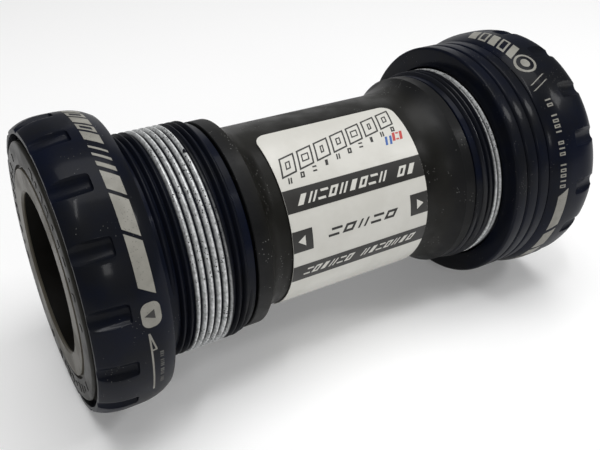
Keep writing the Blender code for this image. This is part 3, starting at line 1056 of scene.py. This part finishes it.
def sleeve_half(side):
    """One half of the sleeve's outline, from its end towards the middle."""
    sign = ENDS[side]["sign"]
    rim, width = COLLARS[side]
    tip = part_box("center_sleeve")[0 if sign < 0 else 1].y
    groove_out, groove_in = (ring_centres[side] + sign * reach for reach in (GROOVE_REACH, -GROOVE_REACH))
    foot = rim - sign * width
    stations = [(tip, SLEEVE_BORE_R), (tip, TUBE_R - TIP_EASE), (tip - sign * TIP_EASE, TUBE_R),
                (groove_out, TUBE_R), (groove_out, RING_GROOVE_R),
                (groove_in, RING_GROOVE_R), (groove_in, TUBE_R),
                (rim, TUBE_R), (rim, COLLAR_R - COLLAR_EASE), (rim - sign * COLLAR_EASE, COLLAR_R)]
    end = sign * TUBE_HALF
    for k in range(SLOPE_STEPS + 1):
        t = k / SLOPE_STEPS
        drop = (COLLAR_R - TUBE_R) * (1 - (1 - t) ** 2)
        stations.append((foot + (end - foot) * t, COLLAR_R - drop))
    return stations


sleeve = turn("sleeve_moulding", sleeve_half("right") + sleeve_half("left")[::-1])
dress(smooth(sleeve, 25), SLEEVE_FINISH, "sleeve")
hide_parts("center_sleeve")
print("sleeve:", len(sleeve.data.polygons), "faces")

for side, centre in ring_centres.items():
    select_none()
    bpy.ops.mesh.primitive_torus_add(
        major_segments=128, minor_segments=16, minor_radius=RING_SECTION_R,
        major_radius=CUP_BORE_R - RING_PINCH - RING_SECTION_R,
        location=(0, centre, 0), rotation=(math.pi / 2, 0, 0),
    )
    rubber_ring = named("rubber_ring_" + side)
    dress(smooth(rubber_ring, 60), RUBBER, "sleeve")
    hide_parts("sleeve_oring_" + side)

# %% [markdown]
# ### The label
# The label is a strip of film with rounded corners, bent round the tube. Its print is plain:
# two dark stripes, two dark end boxes, a rising row of outlined blocks where a name would be,
# rows of small dashes for small print, and a small two-colour badge.

# %% Cut and print the label
LEFT_EDGE, RIGHT_EDGE = (corner.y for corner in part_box("sleeve_label"))
LABEL_TOP, LABEL_BOTTOM = 80.0, -62.0
FILM_R = 14.98 * MM
FILM_THICKNESS = 0.11 * MM
FILM_OUTER = FILM_R + FILM_THICKNESS
CORNER_R = 2.0 * MM


def film_by(angle):
    return round_by(angle, FILM_OUTER)


def on_tube(radius):
    def surface(along, angle):
        return Vector((radius * math.cos(angle), along, radius * math.sin(angle)))
    return surface


def label_bar(along_from, along_to, angle_from, angle_to, lean=0.0, skew=0.0, line=0.0):
    """A bar on the label between two places along it and two angles round it."""
    x, width = (along_from + along_to) / 2, abs(along_to - along_from)
    y, height = film_by((angle_from + angle_to) / 2), film_by(abs(angle_to - angle_from))
    return flat_bar(x, y, width, height, lean, skew, line)


def label_layer(name, shapes, finish, radius, thickness=INK_THICKNESS):
    """A layer of film or ink, wrapped on the tube."""
    layer = wrapped(name, shapes, FILM_OUTER, on_tube(radius), thickness)
    print(name, "has", len(layer.data.polygons), "faces")
    return dress(layer, finish, "sleeve")


sheet = round_corners(label_bar(LEFT_EDGE, RIGHT_EDGE, LABEL_BOTTOM, LABEL_TOP), CORNER_R)
film_piece = label_layer("label_film", [sheet], FILM, FILM_R, FILM_THICKNESS)
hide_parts("sleeve_label")


def print_mark(kind, x, y, width, height, lean, line):
    """One of four plain marks that stand in for print: two uprights, a frame, two levels, a bar."""
    if kind == 0:
        return [flat_bar(x + side * width * 0.29, y, line, height, lean) for side in (-1, 1)]
    if kind == 1:
        return [flat_bar(x, y, width, height, lean, line=line)]
    if kind == 2:
        return [flat_bar(x + side * lean * 0.36, y + side * height * 0.36, width, line)
                for side in (-1, 1)]
    return [flat_bar(x, y, width * 0.7, height, lean)]


def mark_row(along_from, along_to, angle_low, angle_high, pattern, lean, line):
    """A row of plain marks that fills a length of the label. A space in the pattern is a gap."""
    step = (along_to - along_from) / len(pattern)
    y, height = film_by((angle_low + angle_high) / 2), film_by(angle_high - angle_low)
    row = []
    for k, letter in enumerate(pattern):
        if letter != " ":
            row += print_mark("uflb".index(letter), along_from + step * (k + 0.5), y, step * 0.74,
                              height, lean, line)
    return row


PRINT_LEFT, PRINT_RIGHT = LEFT_EDGE + 0.02 * MM, RIGHT_EDGE - 0.02 * MM
BOX_WIDTH = 3.45 * MM
stripes = [
    label_bar(PRINT_LEFT, PRINT_RIGHT, 26.6, 39.8),
    label_bar(PRINT_LEFT, PRINT_RIGHT, -18.0, -6.3),
    label_bar(PRINT_LEFT, LEFT_EDGE + BOX_WIDTH, 3.2, 16.2),
    label_bar(RIGHT_EDGE - BOX_WIDTH, PRINT_RIGHT, 3.6, 17.2),
]
panel_print = mark_row(-6.4 * MM, 6.6 * MM, 7.0, 12.0, "lfulf", 0.9 * MM, 0.38 * MM)

# The rising row: blocks between two edges that climb from the left end to the right end.
RISE_FROM, RISE_TO = -11.5 * MM, 11.6 * MM
ROW_LOW, ROW_HIGH = (46.6, 63.6), (59.0, 75.8)
BLOCKS = 7


def rising(share):
    """The row's lower and upper angle, at a share of its length."""
    return tuple(edge[0] + (edge[1] - edge[0]) * share for edge in (ROW_LOW, ROW_HIGH))


for k in range(BLOCKS):
    share_from, share_to = (k + 0.06) / BLOCKS, (k + 0.9) / BLOCKS
    low, high = rising((share_from + share_to) / 2)
    climb = film_by((ROW_LOW[1] - ROW_LOW[0]) * (share_to - share_from))
    x_from, x_to = (RISE_FROM + (RISE_TO - RISE_FROM) * share for share in (share_from, share_to))
    panel_print.append(label_bar(x_from, x_to, low, high, lean=0.8 * MM, skew=climb, line=0.26 * MM))
    x_middle, inner = (x_from + x_to) / 2, (x_to - x_from) * (0.16, 0.24, 0.12)[k % 3]
    panel_print.append(label_bar(x_middle - inner, x_middle + inner, low + 3.8, high - 3.8,
                                 lean=0.3 * MM, skew=climb * 0.3, line=0.2 * MM))
TICKS = 10
for k in range(TICKS):
    share = (k + 0.4) / TICKS
    low, _ = rising(share)
    x = RISE_FROM + (RISE_TO - RISE_FROM) * share
    panel_print += print_mark(k % 4, x, film_by(low - 2.6), 0.7 * MM, film_by(3.4), 0.2 * MM, 0.24 * MM)
label_layer("label_dark_print", stripes + panel_print, INK_BLACK, FILM_OUTER)

white_rows = mark_row(-10.6 * MM, 11.3 * MM, 30.0, 35.9, "bulfubflu fb", 1.0 * MM, 0.36 * MM)
white_rows += mark_row(-10.5 * MM, 10.5 * MM, -14.4, -9.6, "lfbulf ublfubf", 0.9 * MM, 0.27 * MM)
white_rows.append(flat_triangle(LEFT_EDGE + 1.75 * MM, film_by(9.7), 1.9 * MM, 1.7 * MM, math.pi / 2))
white_rows.append(flat_triangle(RIGHT_EDGE - 1.75 * MM, film_by(10.4), 1.9 * MM, 1.7 * MM, -math.pi / 2))
label_layer("label_white_print", white_rows, FILM, FILM_OUTER + INK_THICKNESS, 0.012 * MM)

BADGE_LOW, BADGE_HIGH = 50.5, 57.5
blue_shapes = mark_row(7.6 * MM, 9.3 * MM, BADGE_LOW, BADGE_HIGH - 1.5, "bb", 0.5 * MM, 0.3 * MM)
red_shapes = mark_row(9.3 * MM, 11.4 * MM, BADGE_LOW + 1.5, BADGE_HIGH, "flf", 0.5 * MM, 0.26 * MM)
label_layer("label_badge_blue", blue_shapes, INK_BLUE, FILM_OUTER)
label_layer("label_badge_red", red_shapes, INK_RED, FILM_OUTER)

# %% [markdown]
# ## The bearings
# The races, cages, balls and seals are hidden by the cups and caps. They stay as the model has
# them and only get their finishes, since nobody sees their surface from outside.

# %% Dress the bearings
BEARING_FINISHES = (        # the first word that is in a node's name decides
    ("race", RACE_STEEL, "bearing_steel"), ("ball_cage", NYLON, "cage_nylon"),
    ("_ball_", BALL_STEEL, "ball_steel"), ("seal", RUBBER, "rubber"),
)
dressed = 0
for name, node in frame["nodes"].items():
    match = next((row for row in BEARING_FINISHES if row[0] in name), None)
    if match and not node.hide_render:
        node.data.materials.clear()
        node.data.materials.append(match[1])
        dressed += 1
print("bearing parts dressed:", dressed)

# %% [markdown]
# ## The studio
# The floor is a plain pale sheet, so large that its edge never shows. It glows a little, which
# keeps it nearly white without a lamp so strong that the black turns grey. The narrow key lamp
# draws the fine highlights, the one behind lifts the far outlines, and the two small ones
# reach the far flange and the lower side of the label.

# %% Floor and lamps
WHITE = (1, 1, 1, 1)
FLOOR_WHITE, FLOOR_SHADE = (0.86, 0.86, 0.86, 1), (0.85, 0.85, 0.85, 1)
FLOOR_SIZE = 6.0
FLOOR_GLOW = 0.15
AIR_GLOW = 0.16

select_none()
bpy.ops.mesh.primitive_plane_add(size=FLOOR_SIZE, location=(0, 0, CAD_LOW[2]))
floor = named("floor")
FLOOR_FINISH, tree, shader, where = new_finish("pale_paper")
paper, _ = cloudy(tree, where, FLOOR_WHITE, FLOOR_SHADE, 6.0, 0.5)
plug(tree, shader, Base_Color=paper, Roughness=0.9, Specular_IOR_Level=0.0,
     Emission_Color=WHITE, Emission_Strength=FLOOR_GLOW)
floor.data.materials.append(FLOOR_FINISH)


def lamp(name, place_at, aim, size, power):
    """A soft panel, wide by long, that points at a place."""
    data = bpy.data.lights.new(name, "AREA")
    data.shape = "RECTANGLE"
    data.size, data.size_y = size
    data.energy = power
    panel = bpy.data.objects.new(name, data)
    bpy.context.scene.collection.objects.link(panel)
    panel.location = place_at
    panel.rotation_euler = (Vector(aim) - Vector(place_at)).to_track_quat("-Z", "Y").to_euler()
    print(name, "gives", power, "watts")


# Each row is a name, a place, an aim, a size and a power, in metres and watts.
lamp("top_panel", (0.0, 0.05, 0.60), (0, 0, 0), (0.38, 0.60), 2.7)
lamp("key_lamp", (0.20, -0.175, 0.675), (0, -0.03, 0), (0.04, 0.26), 0.75)
lamp("back_panel", (-0.75, 0.42, 0.30), (0, 0, 0.02), (0.55, 0.55), 0.85)
lamp("far_lamp", (0.27, 0.42, 0.42), (0, 0.03, 0), (0.12, 0.12), 0.7)
lamp("low_lamp", (0.24, -0.03, 0.11), (0, 0.03, 0), (0.04, 0.04), 0.07)

world = bpy.data.worlds.new("studio_air")
bpy.context.scene.world = world
world.use_nodes = True
plug(world.node_tree, world.node_tree.nodes["Background"], Color=WHITE, Strength=AIR_GLOW)
